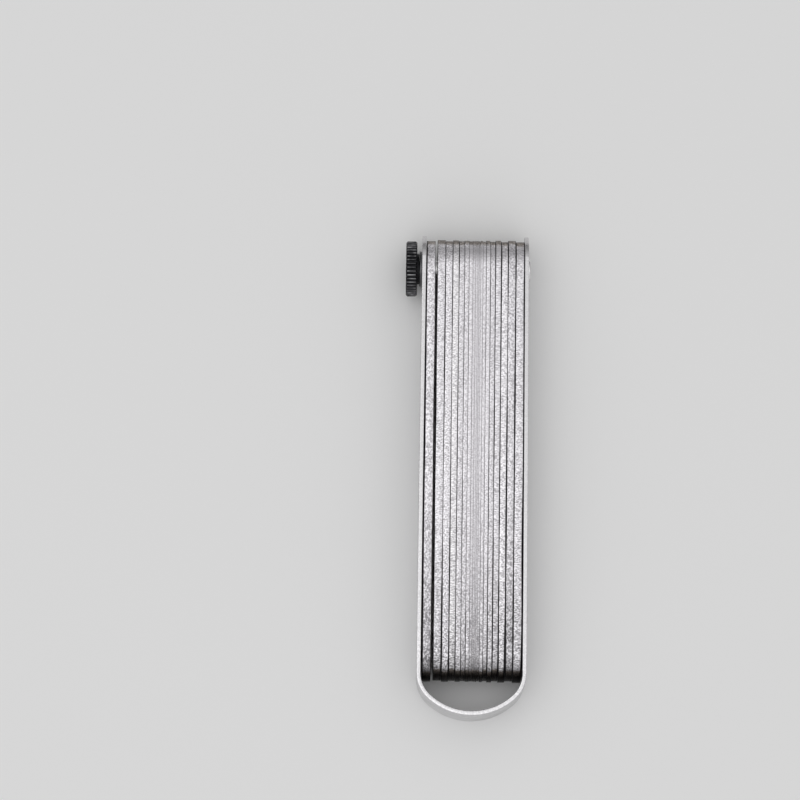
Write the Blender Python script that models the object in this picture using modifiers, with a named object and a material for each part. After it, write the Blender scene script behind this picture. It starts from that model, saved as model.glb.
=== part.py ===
"""Feeler gauge: a pack of steel blades on a pivot screw, kept in a bow of bent spring steel.

The gauge lies on the lower edges of its bow, with Z up. X runs along the pivot screw, across the
pack of blades, and the clamping nut is on the -X side. Y runs along the blades: the pivot is
towards +Y and the closed end of the bow towards -Y. The origin is in the middle of the gauge's
footprint. Lengths are in metres.
"""

import math

import bmesh
import bpy

# Blades: the thicknesses rise by an even step from the thinnest one.
BLADE_COUNT = 20
BLADE_THINNEST = 0.0001
BLADE_STEP = 0.0001
BLADE_LENGTH = 0.1000
BLADE_WIDTH = 0.0130
BLADE_GAP = 0.00003
PACK_SLACK = 0.00045  # further room beside the thickest blade
BLADE_PLAY = 0.00015  # how far a blade may sit off the screw's axis
PLAY_TURN = 3.0  # radians: spreads that play unevenly from blade to blade

# Pivot screw: a plain shank, with a low domed head against the +X leg.
SHANK_RADIUS = 0.0020
SHANK_CHAMFER = 0.0003
SHANK_RECESS = 0.0002  # from the nut's outer face in to the end of the shank
HEAD_RADIUS = 0.0026
HEAD_RIM = 0.0003
HEAD_HEIGHT = 0.00028
BORE_CLEARANCE = 0.00005  # radial room round the shank

# Bow: a strip of even width and thickness. The nut draws the two legs together a little.
STRIP_WIDTH = 0.0140
STRIP_THICKNESS = 0.0009
LEG_GAP = 0.00008  # from the outer blades to the tips of the legs
LEG_SPREAD = 0.00015  # how much further out each leg stands at its corner than at the pivot
LEG_OVERRUN = 0.0004  # from the pivot out to the centre of a leg's round end
LEG_END_EASE = 0.0001  # how much wider the round end is than the strip, each side
LOOP_DEPTH = 0.00715  # from the blade tips to the inside of the closed end
CORNER_RADIUS = 0.0070  # to the middle of the strip
END_BULGE = 0.00185  # how far the closed end swells out past its corners

# Clamp: a washer against the -X leg, and a knurled nut with a collar.
WASHER_RADIUS = 0.0040
WASHER_THICKNESS = 0.0005
WASHER_BORE_CLEARANCE = 0.00015
NUT_RADIUS = 0.00625
NUT_THICKNESS = 0.0025
NUT_CHAMFER = 0.00035
COLLAR_RADIUS = 0.0035
COLLAR_LENGTH = 0.0005
KNURL_COUNT = 44
KNURL_DEPTH = 0.00035
SEAT_GAP = 0.00005  # between faces that bear on each other

# Facets, and how far a cutter reaches past what it cuts.
END_SEGMENTS = 16
BORE_SEGMENTS = 24
BEND_SEGMENTS = 10
LEG_SEGMENTS = 8
DOME_SEGMENTS = 5
TURN_STEPS = 32
CUT_MARGIN = 0.0010
WELD_DISTANCE = 1e-7
SMOOTH_ANGLE = math.radians(30)

# Finishes: linear colour, metallic value and roughness.
BLADE_STEEL = ("blade_steel", (0.52, 0.52, 0.51, 1.0), 1.0, 0.38)
BOW_STEEL = ("bow_steel", (0.66, 0.66, 0.65, 1.0), 1.0, 0.18)
SCREW_STEEL = ("screw_steel", (0.62, 0.62, 0.61, 1.0), 1.0, 0.25)
WASHER_STEEL = ("washer_steel", (0.15, 0.15, 0.155, 1.0), 1.0, 0.30)
NUT_BLACK = ("nut_black", (0.05, 0.05, 0.052, 1.0), 1.0, 0.35)

# Turns that lay a flat outline in the YZ plane, and a turned profile's Z along +X or -X.
INTO_YZ = (math.pi / 2, 0, math.pi / 2)
ALONG_PLUS_X = (0, math.pi / 2, 0)
ALONG_MINUS_X = (0, -math.pi / 2, 0)


def blade_ranks():
    """Ranks by thickness from -X to +X: thick blades outside, thin ones in the middle."""
    rising = list(range(BLADE_COUNT))
    return rising[::-2] + rising[BLADE_COUNT % 2::2]


def blade_thickness(rank):
    return BLADE_THINNEST + BLADE_STEP * rank


# What follows from the driving sizes. The pivot's axis is at X = Y = Z = 0 until it is placed.
BORE_RADIUS = SHANK_RADIUS + BORE_CLEARANCE
PACK_STEEL = sum(blade_thickness(rank) for rank in range(BLADE_COUNT))
PACK_WIDTH = PACK_STEEL + BLADE_GAP * (BLADE_COUNT - 1) + PACK_SLACK
BLADE_REACH = BLADE_LENGTH - BLADE_WIDTH / 2
LEG_END_RADIUS = STRIP_WIDTH / 2 + LEG_END_EASE
LEG_TIP_Y = LEG_OVERRUN + LEG_END_RADIUS
END_Y = -(BLADE_REACH + BLADE_PLAY + LOOP_DEPTH + STRIP_THICKNESS / 2)


def drawn_in(share):
    """How far a leg has bent in, as a cantilever does, at this share of the way up to the pivot."""
    return LEG_SPREAD * (3 * share**2 - share**3) / 2


def corner_shape():
    """Half the bow's width at the corners, their radius and the height of their centres."""
    rough_base = END_Y + CORNER_RADIUS + END_BULGE
    tip_draw = drawn_in(1 - LEG_TIP_Y / rough_base)
    half_width = PACK_WIDTH / 2 + LEG_GAP + tip_draw + STRIP_THICKNESS / 2
    radius = min(CORNER_RADIUS, half_width)
    return half_width, radius, END_Y + radius + END_BULGE


HALF_WIDTH, CORNER, CORNER_Y = corner_shape()


def leg_x(y):
    """Where the middle of the +X leg's strip is at this height."""
    return HALF_WIDTH - drawn_in(1 - y / CORNER_Y)


def leg_seat(reach):
    """The outermost X of a leg within reach of the pivot, with room for what bears on it."""
    return leg_x(-reach) + STRIP_THICKNESS / 2 + SEAT_GAP


HEAD_SEAT = leg_seat(HEAD_RADIUS)
WASHER_SEAT = leg_seat(WASHER_RADIUS)
NUT_SEAT = WASHER_SEAT + WASHER_THICKNESS + SEAT_GAP
NUT_FACE = NUT_SEAT + COLLAR_LENGTH + NUT_THICKNESS
SHANK_END = NUT_FACE - SHANK_RECESS
HEAD_TOP = HEAD_SEAT + HEAD_RIM + HEAD_HEIGHT
PIVOT_HEIGHT = max(STRIP_WIDTH / 2, BLADE_WIDTH / 2, NUT_RADIUS, WASHER_RADIUS)
PIVOT_PLACE = (
    (NUT_FACE - max(HEAD_TOP, HALF_WIDTH + STRIP_THICKNESS / 2)) / 2,
    (STRIP_THICKNESS / 2 - END_Y - LEG_TIP_Y) / 2,
    PIVOT_HEIGHT,
)


def clear_scene():
    for obj in list(bpy.data.objects):
        bpy.data.objects.remove(obj, do_unlink=True)


def new_collection(name):
    collection = bpy.data.collections.new(name)
    bpy.context.scene.collection.children.link(collection)
    return collection


def new_material(name, colour, metallic, roughness):
    material = bpy.data.materials.new(name)
    material.use_nodes = True
    shader = material.node_tree.nodes["Principled BSDF"]
    shader.inputs["Base Color"].default_value = colour
    shader.inputs["Metallic"].default_value = metallic
    shader.inputs["Roughness"].default_value = roughness
    material.diffuse_color = colour
    return material


def arc(centre, radius, start, end, segments):
    """Points along an arc from one angle to another, with both ends."""
    angles = [start + (end - start) * i / segments for i in range(segments + 1)]
    return [(centre[0] + radius * math.cos(a), centre[1] + radius * math.sin(a)) for a in angles]


def circle(centre, radius, segments):
    return arc(centre, radius, 0, math.tau, segments)[:-1]


def mesh_object(name, mesh, collection):
    obj = bpy.data.objects.new(name, mesh)
    collection.objects.link(obj)
    return obj


def extruded(name, loops, thickness, collection):
    """A plate in local XY, centred on Z: the first loop filled round the others."""
    curve = bpy.data.curves.new(name, "CURVE")
    curve.dimensions = "2D"
    curve.fill_mode = "BOTH"
    curve.extrude = thickness / 2
    for loop in loops:
        spline = curve.splines.new("POLY")
        spline.points.add(len(loop) - 1)
        for point, (x, y) in zip(spline.points, loop):
            point.co = (x, y, 0, 1)
        spline.use_cyclic_u = True
    outline = mesh_object(name + "_outline", curve, collection)
    graph = bpy.context.evaluated_depsgraph_get()
    mesh = bpy.data.meshes.new_from_object(outline.evaluated_get(graph))
    placed = outline.matrix_world.copy()
    bpy.data.objects.remove(outline)
    welded = bmesh.new()
    welded.from_mesh(mesh)
    bmesh.ops.remove_doubles(welded, verts=welded.verts, dist=WELD_DISTANCE)
    welded.to_mesh(mesh)
    welded.free()
    mesh.name = name
    plate = mesh_object(name, mesh, collection)
    plate.matrix_world = placed
    return plate


def turned(name, profile, steps, closed, collection):
    """A profile of (radius, height) points turned round local Z."""
    mesh = bpy.data.meshes.new(name)
    edges = [(i, i + 1) for i in range(len(profile) - 1)]
    if closed:
        edges.append((len(profile) - 1, 0))
    mesh.from_pydata([(radius, 0, height) for radius, height in profile], edges, [])
    obj = mesh_object(name, mesh, collection)
    screw = obj.modifiers.new("turn", "SCREW")
    screw.axis = "Z"
    screw.steps = steps
    screw.render_steps = steps
    screw.use_merge_vertices = True
    screw.merge_threshold = WELD_DISTANCE
    screw.use_smooth_shade = True
    return obj


def make_cutter(obj):
    obj.hide_render = True
    obj.display_type = "WIRE"
    return obj


def cut(obj, cutter, operation):
    boolean = obj.modifiers.new(cutter.name, "BOOLEAN")
    boolean.operation = operation
    boolean.object = cutter


def shade_smooth(obj):
    """Smooth over shallow angles only. Where modifiers make the shape, the last one splits it."""
    obj.data.shade_smooth()
    if obj.modifiers:
        crisp = obj.modifiers.new("crisp_edges", "EDGE_SPLIT")
        crisp.split_angle = SMOOTH_ANGLE
    else:
        obj.data.set_sharp_from_angle(angle=SMOOTH_ANGLE)


def place(obj, pivot, material, x=0.0, turn=(0.0, 0.0, 0.0)):
    """Hang a piece on the pivot's axis, x along it."""
    obj.parent = pivot
    obj.location = (x, 0, 0)
    obj.rotation_euler = turn
    if material:
        obj.data.materials.append(material)


def add_pivot(collection):
    pivot = bpy.data.objects.new("pivot_axis", None)
    pivot.location = PIVOT_PLACE
    pivot.empty_display_size = BLADE_WIDTH
    collection.objects.link(pivot)
    return pivot


def add_blades(parts, pivot):
    """Round-ended leaves, each with its origin on the screw's axis. Play lets some sit lower."""
    steel = new_material(*BLADE_STEEL)
    radius = BLADE_WIDTH / 2
    x = -PACK_WIDTH / 2
    for index, rank in enumerate(blade_ranks()):
        thickness = blade_thickness(rank)
        shift = -BLADE_PLAY * math.cos(PLAY_TURN * (BLADE_COUNT - 1 - index))
        head = arc((shift, 0), radius, -math.pi / 2, math.pi / 2, END_SEGMENTS)
        tip_x = shift + radius - BLADE_REACH
        tip = arc((tip_x, 0), radius, math.pi / 2, 3 * math.pi / 2, END_SEGMENTS)
        hole = circle((shift, 0), BORE_RADIUS + BLADE_PLAY, BORE_SEGMENTS)
        blade = extruded(f"blade_{rank + 1:02d}", [head + tip, hole], thickness, parts)
        shade_smooth(blade)
        place(blade, pivot, steel, x + thickness / 2, INTO_YZ)
        x += thickness + BLADE_GAP + (PACK_SLACK if index == 0 else 0)


def bow_path():
    """The middle of the strip in XY, from the -X leg's end round to the +X leg's end."""
    centre_x = HALF_WIDTH - CORNER
    rise = CORNER + END_BULGE
    crown = (centre_x**2 + rise**2 - CORNER**2) / (2 * END_BULGE)
    crown_y = END_Y + crown
    meet = math.atan2(CORNER_Y - crown_y, centre_x)
    half = arc((0, crown_y), crown, -math.pi / 2, meet, BEND_SEGMENTS)
    half += arc((centre_x, CORNER_Y), CORNER, meet, 0, BEND_SEGMENTS)[1:]
    climb = LEG_TIP_Y + CUT_MARGIN - CORNER_Y
    heights = [CORNER_Y + climb * i / LEG_SEGMENTS for i in range(1, LEG_SEGMENTS + 1)]
    half += [(leg_x(y), y) for y in heights]
    return [(-x, y) for x, y in reversed(half[1:])] + half


def add_bow(parts, cutters, pivot):
    """A ribbon that stands on its path, thickened, with its leg ends rounded and bored."""
    ribbon = bmesh.new()
    verts = [ribbon.verts.new((x, y, -STRIP_WIDTH / 2)) for x, y in bow_path()]
    edges = [ribbon.edges.new(pair) for pair in zip(verts, verts[1:])]
    raised = bmesh.ops.extrude_edge_only(ribbon, edges=edges)["geom"]
    upper = [item for item in raised if isinstance(item, bmesh.types.BMVert)]
    bmesh.ops.translate(ribbon, vec=(0, 0, STRIP_WIDTH), verts=upper)
    mesh = bpy.data.meshes.new("bow")
    ribbon.to_mesh(mesh)
    ribbon.free()
    bow = mesh_object("bow", mesh, parts)
    strip = bow.modifiers.new("strip", "SOLIDIFY")
    strip.thickness = STRIP_THICKNESS
    strip.offset = 0
    strip.use_even_offset = True
    place(bow, pivot, new_material(*BOW_STEEL))

    through = 2 * (HALF_WIDTH + STRIP_THICKNESS / 2 + CUT_MARGIN)
    edge = LEG_END_RADIUS + CUT_MARGIN
    top = LEG_TIP_Y + 2 * CUT_MARGIN
    trim = arc((LEG_OVERRUN, 0), LEG_END_RADIUS, -math.pi / 2, math.pi / 2, 2 * END_SEGMENTS)
    trim += [(LEG_OVERRUN, edge), (top, edge), (top, -edge), (LEG_OVERRUN, -edge)]
    trimmer = make_cutter(extruded("leg_end_trimmer", [trim], through, cutters))
    place(trimmer, pivot, None, 0, INTO_YZ)
    cut(bow, trimmer, "DIFFERENCE")

    bore = extruded("leg_bore", [circle((0, 0), BORE_RADIUS, BORE_SEGMENTS)], through, cutters)
    place(make_cutter(bore), pivot, None, 0, INTO_YZ)
    cut(bow, bore, "DIFFERENCE")
    shade_smooth(bow)


def add_pivot_screw(parts, pivot):
    """Dome, rim and shank, turned about the axis from the head to the chamfered end."""
    dome = (HEAD_RADIUS**2 + HEAD_HEIGHT**2) / (2 * HEAD_HEIGHT)
    rim_angle = math.asin(HEAD_RADIUS / dome)
    profile = [(0, HEAD_TOP)]
    for i in range(1, DOME_SEGMENTS + 1):
        angle = rim_angle * i / DOME_SEGMENTS
        profile.append((dome * math.sin(angle), HEAD_TOP - dome * (1 - math.cos(angle))))
    profile += [
        (HEAD_RADIUS, HEAD_SEAT),
        (SHANK_RADIUS, HEAD_SEAT),
        (SHANK_RADIUS, SHANK_CHAMFER - SHANK_END),
        (SHANK_RADIUS - SHANK_CHAMFER, -SHANK_END),
        (0, -SHANK_END),
    ]
    screw = turned("pivot_screw", profile, TURN_STEPS, False, parts)
    place(screw, pivot, new_material(*SCREW_STEEL), 0, ALONG_PLUS_X)
    shade_smooth(screw)


def add_washer(parts, pivot):
    bore = SHANK_RADIUS + WASHER_BORE_CLEARANCE
    profile = [
        (WASHER_RADIUS, WASHER_THICKNESS),
        (WASHER_RADIUS, 0),
        (bore, 0),
        (bore, WASHER_THICKNESS),
    ]
    washer = turned("washer", profile, TURN_STEPS, True, parts)
    place(washer, pivot, new_material(*WASHER_STEEL), -WASHER_SEAT, ALONG_MINUS_X)
    shade_smooth(washer)


def add_knurled_nut(parts, cutters, pivot):
    """A turned blank with a collar, cut to a ring of V-shaped ridges. Its face looks to -X."""
    length = COLLAR_LENGTH + NUT_THICKNESS
    chamfer = min(NUT_CHAMFER, NUT_THICKNESS / 3)
    spare = chamfer / 2
    blank = [
        (NUT_RADIUS - chamfer, length),
        (NUT_RADIUS + spare, length - chamfer - spare),
        (NUT_RADIUS + spare, COLLAR_LENGTH + chamfer + spare),
        (NUT_RADIUS - chamfer, COLLAR_LENGTH),
        (COLLAR_RADIUS, COLLAR_LENGTH),
        (COLLAR_RADIUS, 0),
        (BORE_RADIUS, 0),
        (BORE_RADIUS, length),
    ]
    nut = turned("knurled_nut", blank, 2 * KNURL_COUNT, True, parts)
    place(nut, pivot, new_material(*NUT_BLACK), -NUT_SEAT, ALONG_MINUS_X)

    crests = circle((0, 0), NUT_RADIUS, 2 * KNURL_COUNT)
    roots = circle((0, 0), NUT_RADIUS - KNURL_DEPTH, 2 * KNURL_COUNT)
    ridges = [pair[i % 2] for i, pair in enumerate(zip(crests, roots))]
    form = extruded("knurl_form", [ridges], 2 * (length + CUT_MARGIN), cutters)
    place(make_cutter(form), pivot, None, -NUT_SEAT, ALONG_MINUS_X)
    cut(nut, form, "INTERSECT")
    shade_smooth(nut)


def main():
    clear_scene()
    parts = new_collection("feeler_gauge")
    cutters = new_collection("feeler_gauge_cutters")
    pivot = add_pivot(parts)
    add_bow(parts, cutters, pivot)
    add_blades(parts, pivot)
    add_pivot_screw(parts, pivot)
    add_washer(parts, pivot)
    add_knurled_nut(parts, cutters, pivot)
    bpy.context.view_layer.update()


main()
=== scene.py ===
"""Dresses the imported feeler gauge: finer pieces, steel finishes, a plain stage and the camera.

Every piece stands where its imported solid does, in the same frame and in metres. X runs along the
pivot screw, with the clamping nut on the -X side. Y runs along the blades, with the pivot towards
+Y and the closed end of the bow towards -Y. Z is up.
"""

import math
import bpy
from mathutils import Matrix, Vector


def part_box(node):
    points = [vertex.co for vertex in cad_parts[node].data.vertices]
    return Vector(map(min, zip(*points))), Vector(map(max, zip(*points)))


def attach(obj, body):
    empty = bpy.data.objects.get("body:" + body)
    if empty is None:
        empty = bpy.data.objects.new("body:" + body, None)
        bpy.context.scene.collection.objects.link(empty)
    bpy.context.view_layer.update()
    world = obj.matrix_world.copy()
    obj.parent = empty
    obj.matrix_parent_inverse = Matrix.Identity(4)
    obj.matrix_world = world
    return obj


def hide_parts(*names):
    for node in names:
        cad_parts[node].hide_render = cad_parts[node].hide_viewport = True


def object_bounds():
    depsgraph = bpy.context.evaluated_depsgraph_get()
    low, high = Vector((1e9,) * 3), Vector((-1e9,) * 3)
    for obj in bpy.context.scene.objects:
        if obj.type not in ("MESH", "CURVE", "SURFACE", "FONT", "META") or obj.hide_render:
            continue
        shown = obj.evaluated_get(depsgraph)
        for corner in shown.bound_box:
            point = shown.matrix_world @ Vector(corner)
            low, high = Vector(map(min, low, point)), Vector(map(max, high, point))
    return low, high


bl_info = {
    "name": "Feeler Gauge",
    "version": (1, 0, 0),
    "blender": (4, 5, 0),
    "location": "View3D > Sidebar > Feeler Gauge",
    "description": "Models a feeler gauge round its packed solids and sets its stage",
    "category": "Add Mesh",
}

import bmesh
import bpy
from bpy.props import FloatProperty, FloatVectorProperty, IntProperty, PointerProperty
from mathutils import Matrix, Vector

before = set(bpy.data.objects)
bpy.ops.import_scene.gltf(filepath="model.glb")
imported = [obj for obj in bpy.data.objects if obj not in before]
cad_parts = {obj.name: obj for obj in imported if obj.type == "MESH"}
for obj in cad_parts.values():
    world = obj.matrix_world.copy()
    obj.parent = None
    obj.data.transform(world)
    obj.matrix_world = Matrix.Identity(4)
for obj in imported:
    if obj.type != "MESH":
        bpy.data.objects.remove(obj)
CAD_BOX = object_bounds()

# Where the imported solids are. The pivot's axis runs along X through the middle of the washer.
BLADES = sorted(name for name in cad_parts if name.startswith("blade_"))
BLADE_BOX = {name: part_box(name) for name in BLADES}
BOW_LOW, BOW_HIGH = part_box("bow")
SCREW_LOW, SCREW_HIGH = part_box("pivot_screw")
WASHER_LOW, WASHER_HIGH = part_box("washer")
NUT_LOW, NUT_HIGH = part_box("knurled_nut")
PIVOT = (WASHER_LOW + WASHER_HIGH) / 2
PIVOT.x = (BOW_LOW.x + BOW_HIGH.x) / 2
ACROSS = (1, 0, 0)
FACING_X = (0, math.pi / 2, 0)

# Small lengths: to merge doubles, for a first vertex, for a match, and past the end of a cut.
WELD = 1e-7
SPECK = 1e-5
NEAR = 1e-6
CUT_MARGIN = 0.001
TAP_MARGIN = 0.83 * CUT_MARGIN

# One tooth of a thread, in shares of its pitch and of its height, and the turns past either end.
THREAD_TOOTH = ((0, 0), (0.34, 1), (0.46, 1), (0.8, 0), (1, 0))
THREAD_SPARE = 1.5

# Steps round small curves, and round the forms that trim and bore the legs.
DOME_STEPS = 16
ROUND_STEPS = 8
ROLL_STEPS = 4
BORE_FACETS = 96
END_FACETS = 192

DIGIT_SHARE = 0.7  # height of a digit in a text of size 1
STEEP = 0.6  # share of a normal that tells the edges of the strip from its faces
FLAT = 0.9  # the same for the edges and faces of a blade
GOLDEN = 0.618  # steps that spread evenly without repeating
THIN_BLADE = 0.0005
THICK_MORE = 0.001  # from there to a blade that counts as fully thick

DARKEN_START = 0.012  # Y from which a blade's edge grows darker, towards its tip
GAP_SHADE_SHIFT = 7.31  # from one line of painted gap shade to the next, so that no two run alike
MIX_FIRST, MIX_SECOND, MIX_RESULT = 6, 7, 2  # sockets of a Mix node that mixes colours

LAMP_PLACE = (-0.25, -0.2, 1.1)
CLIP_START, CLIP_END = 0.01, 50


def length(name, description, default):
    return FloatProperty(
        name=name, description=description, default=default, unit="LENGTH", precision=6
    )


def angle(name, description, default):
    return FloatProperty(
        name=name, description=description, default=math.radians(default), subtype="ANGLE"
    )


def colour(name, description, default):
    return FloatVectorProperty(
        name=name, description=description, default=default, subtype="COLOR", min=0, max=1
    )


def count(name, description, default):
    return IntProperty(name=name, description=description, default=default, min=3)


def amount(name, description, default):
    return FloatProperty(name=name, description=description, default=default)


class BladeSettings(bpy.types.PropertyGroup):
    """Sizes and colours of the blades."""

    corner: length("Corner", "Radius of the long corners of a thick blade", 0.0001)
    corner_share: amount("Corner share", "Most of a thin blade that one corner takes", 0.06)
    bore: length("Bore", "Radius of the hole for the pivot screw", 0.0022)
    number_height: length("Number height", "Height of the thickness number", 0.0048)
    number_depth: length("Number depth", "How deep the number is etched", 0.00002)
    number_place: length("Number place", "From the pivot to the middle of the number", 0.0700)
    facets: count("Facets", "Facets round one end", 64)
    edge_light: colour("Edge, light", "Bright grain of the cut edges", (0.97, 0.95, 0.985))
    edge_dark: colour("Edge, dark", "Dark grain of the cut edges", (0.46, 0.445, 0.465))
    # Scale and its reach: painted shade on the round ends of the blades, where they curve away
    # from the light, not mill scale.
    scale: colour("Scale", "Mill scale left on the round ends", (0.084, 0.074, 0.067))
    end_shade_reach: length("Scale reach", "How far the scale comes in from an end", 0.00210)
    # Oil and its reach, gain and outer share: painted shade in the narrow gaps along the long
    # corners of the blades and beside the -X leg, not oil.
    gap_shade: colour("Gap shade", "Dark oil along the long corners", (0.022, 0.021, 0.022))
    gap_shade_reach: length("Oil reach", "How far the oil comes over a thick blade's corner", 0.000135)
    gap_shade_gain: amount("Oil gain", "How much further it comes on the +X half of the pack", 1.4)
    outer_gap_shade: length("Outer oil", "How much further it comes beside the -X leg", 0.00012)
    face: colour("Face", "Ground faces", (0.60, 0.60, 0.59))
    etch: colour("Number", "Etched number", (0.07, 0.07, 0.075))


class BowSettings(bpy.types.PropertyGroup):
    """Sizes and colour of the bow."""

    strip: length("Strip", "Thickness of the strip", 0.0009)
    corner: length("Corner", "Radius of the corners, to the middle of the strip", 0.0070)
    bulge: length("Bulge", "How far the closed end swells past the corners", 0.00185)
    spread: length("Spread", "How far a leg bends in, from its corner to the pivot", 0.00015)
    end_radius: length("End radius", "Radius of the round leg ends", 0.0071)
    end_rise: length("End rise", "From the pivot out to the middle of a round end", 0.0004)
    bore: length("Bore", "Radius of the holes for the pivot screw", 0.00205)
    edge_round: length("Edge round", "Radius along the edges of the strip", 0.00034)
    leg_steps: count("Leg steps", "Steps along a leg", 24)
    bend_steps: count("Bend steps", "Steps round a corner, and along half the end", 28)
    steel: colour("Steel", "Polished strip", (0.82, 0.81, 0.825))


class ScrewSettings(bpy.types.PropertyGroup):
    """Sizes and colour of the pivot screw."""

    shank: length("Shank", "Radius of the shank and of the thread's crests", 0.0020)
    head: length("Head", "Radius of the head", 0.0026)
    head_height: length("Head height", "How far the head stands off the leg", 0.00058)
    crown: length("Crown", "How far the face of the head swells", 0.00010)
    head_round: length("Head round", "Rounding from the face to the rim", 0.00030)
    chamfer: length("Chamfer", "At the end of the thread", 0.0003)
    pitch: length("Pitch", "Travel of the nut in a turn", 0.0007)
    thread_depth: length("Thread depth", "From crest to root", 0.00040)
    thread_length: length("Thread", "Length of the threaded part", 0.0044)
    steps: count("Steps", "Facets round the screw", 72)
    steel: colour("Steel", "Turned steel", (0.84, 0.835, 0.84))


class WasherSettings(bpy.types.PropertyGroup):
    """Sizes and colour of the washer."""

    bore: length("Bore", "Radius of the hole", 0.00215)
    edge: length("Edge", "Rolled edge on the stamped side", 0.00012)
    steps: count("Steps", "Facets round the washer", 72)
    steel: colour("Steel", "Stamped steel, darkened", (0.13, 0.13, 0.135))


class NutSettings(bpy.types.PropertyGroup):
    """Sizes and colours of the knurled nut."""

    radius: length("Radius", "To the crests of the knurl", 0.00625)
    chamfer: length("Chamfer", "At both ends of the knurl", 0.00035)
    collar_radius: length("Collar radius", "Collar that bears on the washer", 0.0035)
    collar_length: length("Collar length", "How far the collar stands out", 0.0005)
    bore: length("Bore", "Radius of the hole", 0.00205)
    countersink: length("Countersink", "At both ends of the hole", 0.0003)
    ridges: count("Ridges", "Ridges round the nut", 44)
    ridge_depth: length("Ridge depth", "From crest to root", 0.00035)
    thread_groove: length("Thread groove", "How deep the thread cuts into the bore", 0.00022)
    steps: count("Steps", "Facets round the nut", 176)
    black: colour("Black", "Blackened steel", (0.020, 0.020, 0.022))
    # Worn: bare steel on the crests, partly real wear and partly a painted highlight.
    worn_and_glint: colour("Wear and glint", "Bare steel on the ridges", (0.34, 0.34, 0.35))


class StageSettings(bpy.types.PropertyGroup):
    """Floor, light and camera."""

    floor_size: length("Floor", "Width of the floor", 6.0)
    floor: colour("Floor colour", "Pale floor", (0.88, 0.88, 0.88))
    sky_top: amount("Light overhead", "Brightness straight overhead", 0.98)
    sky_side: amount("Light from the sides", "Brightness at the horizon", 0.24)
    sky_front: amount("Light from the front", "Added at the horizon towards -Y", 0.5)
    lamp_power: amount("Lamp", "Watts of the soft lamp", 1.5)
    lamp_size: length("Lamp size", "Width of the soft lamp", 0.9)
    distance: length("Distance", "From the camera to what it looks at", 0.9)
    lens: amount("Lens", "Focal length in millimetres", 181.4)
    tilt: angle("Tilt", "How far the camera leans back from looking straight down", 10.252)
    roll: angle("Roll", "Turn of the camera about its own axis", 0.775)
    aim_x: length("Aim X", "What the camera looks at, across the pack", -0.01510)
    aim_y: length("Aim Y", "What the camera looks at, along the blades", 0.01566)
    aim_z: length("Aim Z", "What the camera looks at, above the floor", 0.0140)


# Modelling


def go_to(mode):
    bpy.ops.object.mode_set(mode=mode)


def start_clean():
    """Back to object mode with nothing selected, so that an operator acts on one piece alone."""
    if bpy.context.mode != "OBJECT":
        go_to("OBJECT")
    bpy.ops.object.select_all(action="DESELECT")


def take(obj):
    start_clean()
    obj.select_set(True)
    bpy.context.view_layer.objects.active = obj
    return obj


def edit():
    """Bring the active object's place into its mesh and go to edit mode."""
    bpy.ops.object.transform_apply(location=True, rotation=True, scale=True)
    go_to("EDIT")


def leave(name):
    """Back to object mode, with the piece named."""
    go_to("OBJECT")
    piece = bpy.context.active_object
    piece.name = name
    piece.data.name = name
    return piece


def pick(kind, test):
    """In edit mode, select just the vertices, edges or faces that pass a test."""
    bpy.ops.mesh.select_mode(type=kind)
    bpy.ops.mesh.select_all(action="DESELECT")
    data = bpy.context.edit_object.data
    mesh = bmesh.from_edit_mesh(data)
    mesh.normal_update()
    for item in {"VERT": mesh.verts, "EDGE": mesh.edges, "FACE": mesh.faces}[kind]:
        if test(item):
            item.select_set(True)
    mesh.select_flush_mode()
    bmesh.update_edit_mesh(data)


def pick_all():
    bpy.ops.mesh.select_all(action="SELECT")


def extrude(step):
    bpy.ops.mesh.extrude_region_move(TRANSFORM_OT_translate={"value": step})


def start_line(point):
    """A new piece of one vertex, in edit mode."""
    start_clean()
    bpy.ops.mesh.primitive_plane_add(size=SPECK, location=point)
    edit()
    bpy.ops.mesh.select_mode(type="VERT")
    pick_all()
    bpy.ops.mesh.merge(type="CENTER")


def draw_line(points):
    """Extrude the selected vertex from point to point."""
    for here, there in zip(points, points[1:]):
        extrude(Vector(there) - Vector(here))


def close_up():
    """Merge doubles and turn all faces outwards."""
    pick_all()
    bpy.ops.mesh.remove_doubles(threshold=WELD)
    bpy.ops.mesh.normals_make_consistent(inside=False)


def thicken(reach):
    """Extrude a flat shape along X and close it up."""
    pick_all()
    extrude((reach, 0, 0))
    close_up()


def finish_with(kind, **values):
    """Give the active object a modifier and apply it."""
    bpy.ops.object.modifier_add(type=kind)
    modifier = bpy.context.active_object.modifiers[-1]
    for key, value in values.items():
        setattr(modifier, key, value)
    bpy.ops.object.modifier_apply(modifier=modifier.name)


def combine(piece, other, operation):
    """Cut, join or keep what two pieces share. The other piece is used up."""
    take(piece)
    finish_with("BOOLEAN", operation=operation, object=other, solver="EXACT")
    bpy.data.objects.remove(other)
    go_to("EDIT")
    pick_all()
    bpy.ops.mesh.remove_doubles(threshold=NEAR)
    bpy.ops.mesh.dissolve_degenerate(threshold=NEAR)
    go_to("OBJECT")


def smooth(piece, degrees):
    take(piece)
    bpy.ops.object.shade_smooth_by_angle(angle=math.radians(degrees))


def turned(name, profile, steps):
    """A profile of (X, radius) points spun round the pivot's axis."""
    points = [Vector((x, PIVOT.y, PIVOT.z + radius)) for x, radius in profile]
    start_line(points[0])
    draw_line(points)
    pick_all()
    bpy.ops.mesh.spin(steps=steps, angle=math.tau, center=PIVOT, axis=ACROSS)
    close_up()
    return leave(name)


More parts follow.
